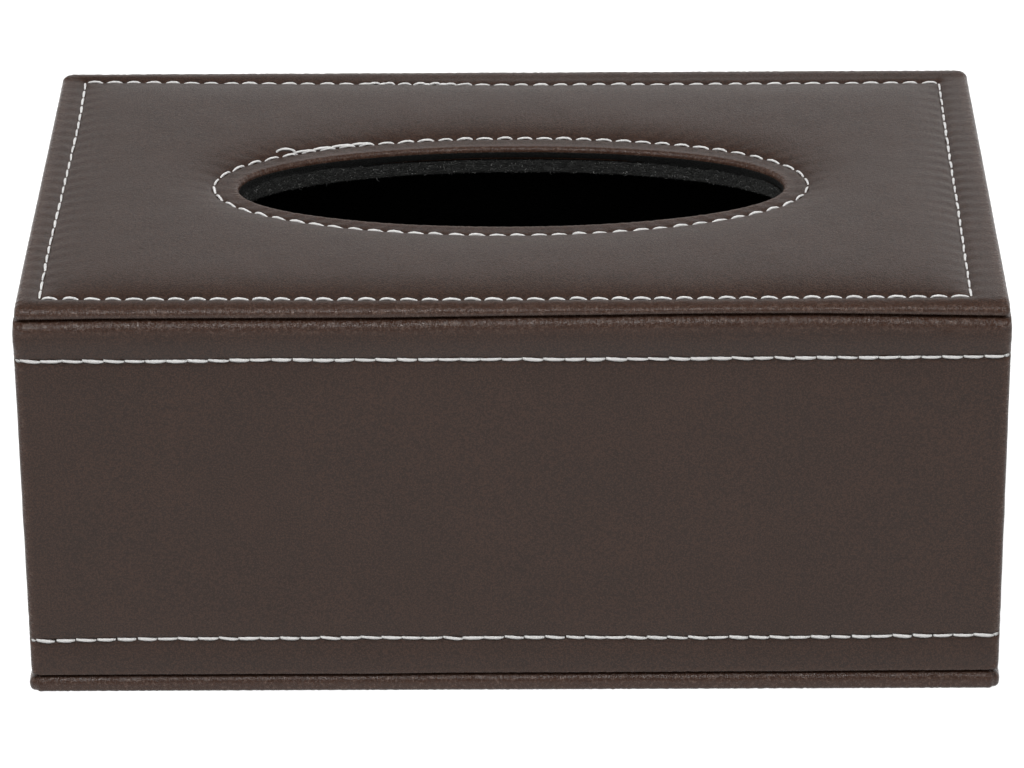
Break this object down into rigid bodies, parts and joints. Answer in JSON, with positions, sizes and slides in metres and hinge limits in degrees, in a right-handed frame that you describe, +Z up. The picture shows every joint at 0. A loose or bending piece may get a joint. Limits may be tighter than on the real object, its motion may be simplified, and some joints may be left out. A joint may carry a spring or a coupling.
{
  "type": "tissue box with drawer",
  "caption": "Leather-covered tissue box: padded top with an oval slot, white stitching, and a full-width front drawer with a felt-lined tray.",
  "frame": {"origin": "bottom centre of the closed box, on the surface it stands on", "axes": "+X along the width, to the right as seen from the front; +Y from the front to the back; +Z up"},
  "size_m": [0.25, 0.15, 0.1119],
  "materials": {
    "leather": "dark brown imitation leather, fine grain, soft satin",
    "thread": "white twisted sewing thread",
    "felt": "black needled felt",
    "board": "bare fibreboard",
    "tray_board": "fibreboard covered in black paper",
    "card": "grey-brown filler card",
    "foam": "thin open-cell foam sheet",
    "magnet": "plated bar magnet",
    "steel": "thin steel strip"
  },
  "bodies": {
    "case": {"top_board": "board", "top_padding": "foam", "top_cover": "leather", "top_filler": "card", "top_edge_stitching": "thread", "oval_stitching": "thread", "top_lining_board": "board", "top_lining": "felt", "base_board": "board", "base_cover": "leather", "base_lining": "felt", "side_board_left": "board", "side_board_right": "board", "back_board": "board", "wall_cover": "leather", "wall_stitching_upper": "thread", "wall_stitching_lower": "thread", "side_lining_left": "felt", "side_lining_right": "felt", "back_lining": "felt", "catch_magnet_left": "magnet", "catch_magnet_right": "magnet"},
    "drawer": {"front_board": "board", "front_cover": "leather", "front_backing": "card", "front_stitching_upper": "thread", "front_stitching_lower": "thread", "strike_plate_left": "steel", "strike_plate_right": "steel", "tray_floor": "tray_board", "tray_front": "tray_board", "tray_back": "tray_board", "tray_side_left": "tray_board", "tray_side_right": "tray_board", "tray_floor_lining": "felt", "tray_front_lining": "felt", "tray_back_lining": "felt", "tray_side_lining_left": "felt", "tray_side_lining_right": "felt"}
  },
  "joints": [
    {"name": "drawer_slide", "type": "slide", "parent": "case", "child": "drawer", "axis": [0, -1, 0], "range_m": [0, 0.11]}
  ]
}
